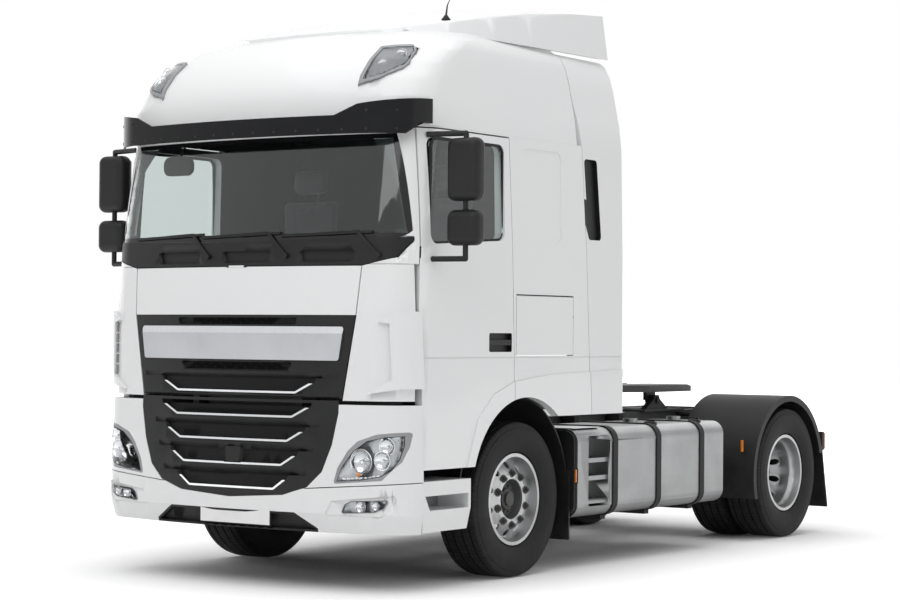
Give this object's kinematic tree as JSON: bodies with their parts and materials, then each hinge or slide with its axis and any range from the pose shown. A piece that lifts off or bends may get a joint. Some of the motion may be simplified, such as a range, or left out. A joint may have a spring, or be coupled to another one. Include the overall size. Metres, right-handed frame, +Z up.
{
  "type": "semi truck tractor unit",
  "caption": "Two-axle cab-over tractor unit with a high-roof sleeper cab, opening doors, steered front wheels, twin rear wheels and a fifth wheel.",
  "frame": {"origin": "on the ground under the middle of the truck's overall length and width", "axes": "+Z up, the front faces -Y, +X is the truck's left-hand side"},
  "size_m": [3.129, 6, 3.872],
  "materials": {
    "white_paint": "gloss",
    "white_plastic": "gloss",
    "silver_paint": "satin",
    "black_plastic": "matte",
    "grey_plastic": "matte",
    "smoked_plastic": "gloss",
    "frame_steel": "satin",
    "cast_iron": "rough",
    "tank_alloy": "satin",
    "bright_steel": "brushed",
    "tyre": "matte",
    "glass": "clear",
    "lamp_glass": "clear",
    "red_lens": "gloss",
    "trim_grey": "matte",
    "seat_cloth": "woven"
  },
  "bodies": {
    "chassis": {"ladder_frame": "frame_steel", "cab_mounts": "cast_iron", "engine_block": "cast_iron", "radiator": "tank_alloy", "front_bumper": "white_plastic", "lamp_panels": "white_plastic", "front_lamps": "lamp_glass", "bumper_intake": "black_plastic", "lower_grille": "black_plastic", "grille_trims": "bright_steel", "entry_steps": "white_plastic", "front_axle": "cast_iron", "rear_axle": "cast_iron", "suspension": "frame_steel", "fuel_tanks": "tank_alloy", "tank_straps": "frame_steel", "tank_ends": "black_plastic", "wheel_housings": "black_plastic", "rear_fenders": "grey_plastic", "tail_lamps": "red_lens", "fifth_wheel_base": "frame_steel", "deck_plate": "tank_alloy"},
    "cab": {"cab_floor": "trim_grey", "quarter_walls": "white_paint", "front_pillars": "white_paint", "windscreen": "glass", "cowl": "black_plastic", "wipers": "black_plastic", "corner_panels": "white_plastic", "cab_roof": "white_plastic", "roof_lamps": "lamp_glass", "roof_spoiler": "white_plastic", "side_fairings": "white_plastic", "sun_visor": "smoked_plastic", "dashboard": "trim_grey", "seats": "seat_cloth"},
    "front_flap": {"service_flap": "white_paint", "upper_grille": "black_plastic", "flap_trims": "bright_steel"},
    "coupling": {"fifth_wheel": "cast_iron"},
    "track_rod": {"tie_rod": "frame_steel"},
    "knuckle_left": {"knuckle_left": "cast_iron"},
    "front_wheel_left": {"front_wheel_left": "silver_paint", "front_tyre_left": "tyre"},
    "rear_wheel_left": {"rear_wheel_left": "silver_paint", "rear_tyres_left": "tyre"},
    "door_left": {"door_left": "white_paint", "door_glass_left": "glass", "mirror_left": "black_plastic"},
    "locker_lid_left": {"locker_lid_left": "white_paint"},
    "knuckle_right": {"knuckle_right": "cast_iron"},
    "front_wheel_right": {"front_wheel_right": "silver_paint", "front_tyre_right": "tyre"},
    "rear_wheel_right": {"rear_wheel_right": "silver_paint", "rear_tyres_right": "tyre"},
    "door_right": {"door_right": "white_paint", "door_glass_right": "glass", "mirror_right": "black_plastic"},
    "locker_lid_right": {"locker_lid_right": "white_paint"}
  },
  "joints": [
    {"name": "steer_left", "type": "hinge", "parent": "chassis", "child": "knuckle_left", "pos_m": [0.87, -1.495, 0.506], "axis": [0, 0, 1], "range_deg": [-38, 38]},
    {"name": "steer_right", "type": "hinge", "parent": "chassis", "child": "knuckle_right", "pos_m": [-0.87, -1.495, 0.506], "axis": [0, 0, 1], "range_deg": [-38, 38]},
    {"name": "track_rod_pivot", "type": "hinge", "parent": "knuckle_left", "child": "track_rod", "pos_m": [0.87, -1.325, 0.396], "axis": [0, 0, 1], "range_deg": [-38, 38]},
    {"name": "spin_front_left", "type": "hinge", "parent": "knuckle_left", "child": "front_wheel_left", "pos_m": [1.012, -1.495, 0.506], "axis": [1, 0, 0], "continuous": true},
    {"name": "spin_front_right", "type": "hinge", "parent": "knuckle_right", "child": "front_wheel_right", "pos_m": [-1.012, -1.495, 0.506], "axis": [1, 0, 0], "continuous": true},
    {"name": "spin_rear_left", "type": "hinge", "parent": "chassis", "child": "rear_wheel_left", "pos_m": [0.89, 2.305, 0.506], "axis": [1, 0, 0], "continuous": true},
    {"name": "spin_rear_right", "type": "hinge", "parent": "chassis", "child": "rear_wheel_right", "pos_m": [-0.89, 2.305, 0.506], "axis": [1, 0, 0], "continuous": true},
    {"name": "cab_tilt", "type": "hinge", "parent": "chassis", "child": "cab", "pos_m": [0, -2.87, 1.22], "axis": [1, 0, 0], "range_deg": [0, 60]},
    {"name": "open_door_left", "type": "hinge", "parent": "cab", "child": "door_left", "pos_m": [1.195, -2.6, 1.79], "axis": [0, 0, -1], "range_deg": [0, 70]},
    {"name": "open_door_right", "type": "hinge", "parent": "cab", "child": "door_right", "pos_m": [-1.195, -2.6, 1.79], "axis": [0, 0, 1], "range_deg": [0, 70]},
    {"name": "lift_front_flap", "type": "hinge", "parent": "cab", "child": "front_flap", "pos_m": [0, -2.948, 1.987], "axis": [-1, 0, 0], "range_deg": [0, 80]},
    {"name": "lift_locker_lid_left", "type": "hinge", "parent": "cab", "child": "locker_lid_left", "pos_m": [1.22, -1.295, 1.813], "axis": [0, -1, 0], "range_deg": [0, 90]},
    {"name": "lift_locker_lid_right", "type": "hinge", "parent": "cab", "child": "locker_lid_right", "pos_m": [-1.22, -1.295, 1.813], "axis": [0, 1, 0], "range_deg": [0, 90]},
    {"name": "tilt_coupling", "type": "hinge", "parent": "chassis", "child": "coupling", "pos_m": [0, 1.705, 1.068], "axis": [1, 0, 0], "range_deg": [-12, 12]}
  ],
  "couplings": [
    {"joint": "steer_right", "follows": "steer_left", "ratio": 1},
    {"joint": "track_rod_pivot", "follows": "steer_left", "ratio": -1}
  ]
}
